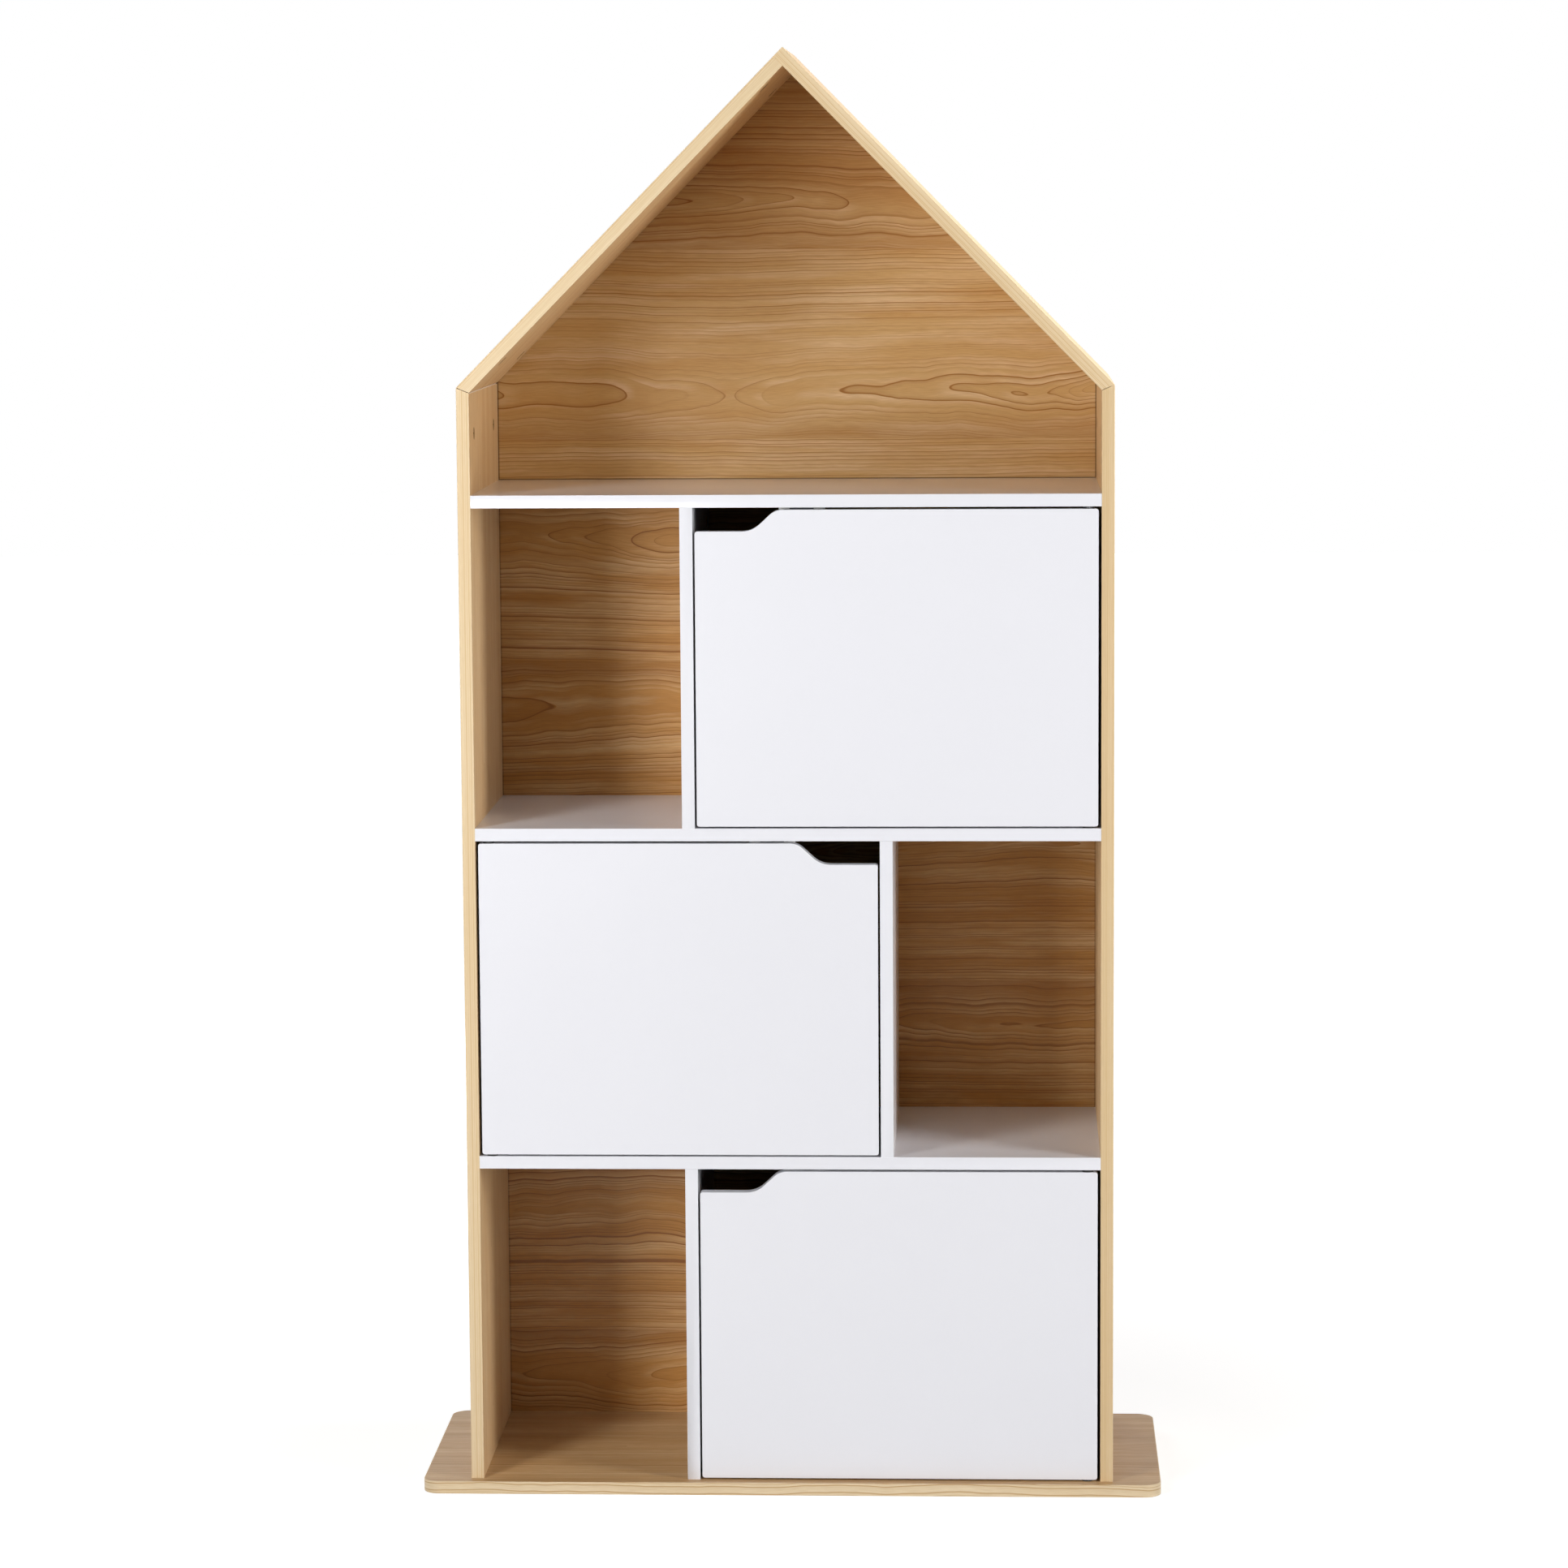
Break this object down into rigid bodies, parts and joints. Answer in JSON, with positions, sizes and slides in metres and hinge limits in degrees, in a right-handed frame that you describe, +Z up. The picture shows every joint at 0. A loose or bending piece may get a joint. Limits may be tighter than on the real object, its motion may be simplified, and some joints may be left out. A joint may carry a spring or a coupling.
{
  "type": "house shaped bookcase",
  "caption": "Bookcase shaped like a gabled house, with an open attic, rows of an open bay and an inset hinged door, and a wide base board.",
  "frame": {"origin": "middle of the base board's footprint, on the floor", "axes": "+Z up, -Y is the side of the doors, +X to the right of someone who stands in front of the doors"},
  "size_m": [0.876, 0.336, 1.6977],
  "materials": {
    "oak_board": "particle board with satin oak grain foil",
    "oak_edge": "pale oak grain edge band, satin",
    "white_board": "particle board faced with white melamine, satin",
    "printed_back": "thin fibreboard printed with oak grain, matt",
    "steel": "bright zinc plated steel",
    "nylon": "white nylon",
    "zinc": "dull zinc",
    "magnet": "dark sintered ferrite",
    "beech": "bare beech"
  },
  "bodies": {
    "carcass": {"base_board": "oak_board", "left_side_panel": "oak_board", "right_side_panel": "oak_board", "left_roof_panel": "oak_board", "right_roof_panel": "oak_board", "base_edge_band": "oak_edge", "left_side_edge_band": "oak_edge", "right_side_edge_band": "oak_edge", "left_roof_edge_band": "oak_edge", "right_roof_edge_band": "oak_edge", "lower_shelf": "white_board", "middle_shelf": "white_board", "top_shelf": "white_board", "bottom_row_divider": "white_board", "middle_row_divider": "white_board", "top_row_divider": "white_board", "bottom_row_back": "printed_back", "middle_row_back": "printed_back", "top_row_back": "printed_back", "attic_back": "printed_back", "catch_pole_plates": "steel", "cam_bolts": "steel", "mitre_bolts": "steel", "base_screws": "steel", "back_nails": "steel", "board_bushes": "nylon", "catch_housings": "nylon", "catch_screws": "zinc", "shelf_cam_locks": "zinc", "divider_cam_locks": "zinc", "roof_cam_locks": "zinc", "catch_magnets": "magnet", "wooden_dowels": "beech"},
    "bottom_door": {"bottom_door": "white_board", "bottom_door_pins": "steel", "bottom_door_bushes": "nylon", "bottom_strike_plate": "steel", "bottom_strike_screw": "zinc"},
    "middle_door": {"middle_door": "white_board", "middle_door_pins": "steel", "middle_door_bushes": "nylon", "middle_strike_plate": "steel", "middle_strike_screw": "zinc"},
    "top_door": {"top_door": "white_board", "top_door_pins": "steel", "top_door_bushes": "nylon", "top_strike_plate": "steel", "top_strike_screw": "zinc"}
  },
  "joints": [
    {"name": "bottom_door_hinge", "type": "hinge", "parent": "carcass", "child": "bottom_door", "pos_m": [0.351, -0.1455, 0.2023], "axis": [0, 0, 1], "range_deg": [0, 120]},
    {"name": "middle_door_hinge", "type": "hinge", "parent": "carcass", "child": "middle_door", "pos_m": [-0.351, -0.1455, 0.5923], "axis": [0, 0, -1], "range_deg": [0, 120]},
    {"name": "top_door_hinge", "type": "hinge", "parent": "carcass", "child": "top_door", "pos_m": [0.351, -0.1455, 0.9823], "axis": [0, 0, 1], "range_deg": [0, 120]}
  ]
}
